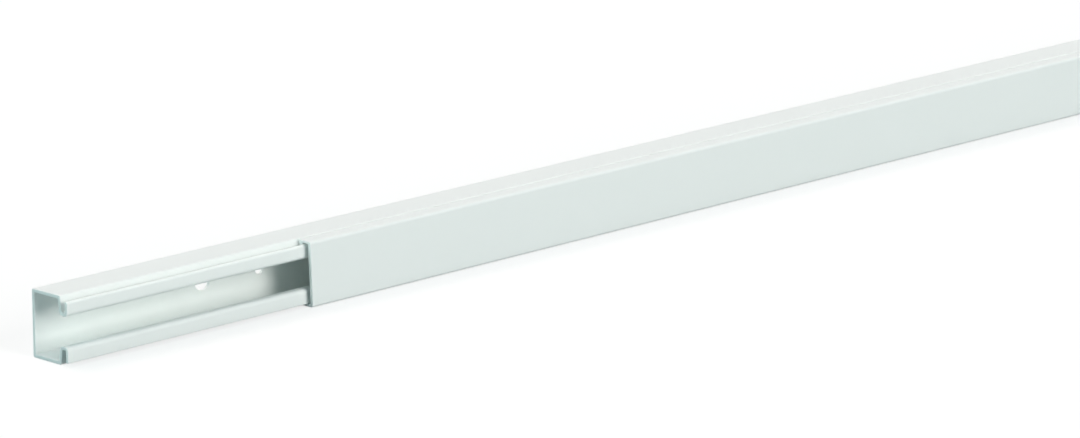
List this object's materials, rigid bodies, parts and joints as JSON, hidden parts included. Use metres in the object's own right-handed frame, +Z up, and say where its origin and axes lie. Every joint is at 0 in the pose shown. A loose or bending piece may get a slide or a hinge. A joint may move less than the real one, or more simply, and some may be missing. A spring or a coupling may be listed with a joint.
{
  "type": "cable trunking",
  "caption": "White rigid PVC mini trunking: a channel with hooked lips and fixing holes in its back wall, and a clip-on cover drawn along it so that one end lies open.",
  "frame": {"origin": "middle of the bounding box, on the floor that the trunking lies on", "axes": "+X along the trunking, away from its open end; +Y towards the wall face; +Z up from the side wall it lies on"},
  "size_m": [2.09, 0.0174, 0.02],
  "materials": {
    "base_pvc": "satin white",
    "cover_pvc": "satin white"
  },
  "bodies": {
    "base": {"base": "base_pvc"},
    "cover": {"cover": "cover_pvc"}
  },
  "joints": [
    {"name": "cover_slide", "type": "slide", "parent": "base", "child": "cover", "axis": [1, 0, 0], "range_m": [-0.09, 1.91]}
  ]
}
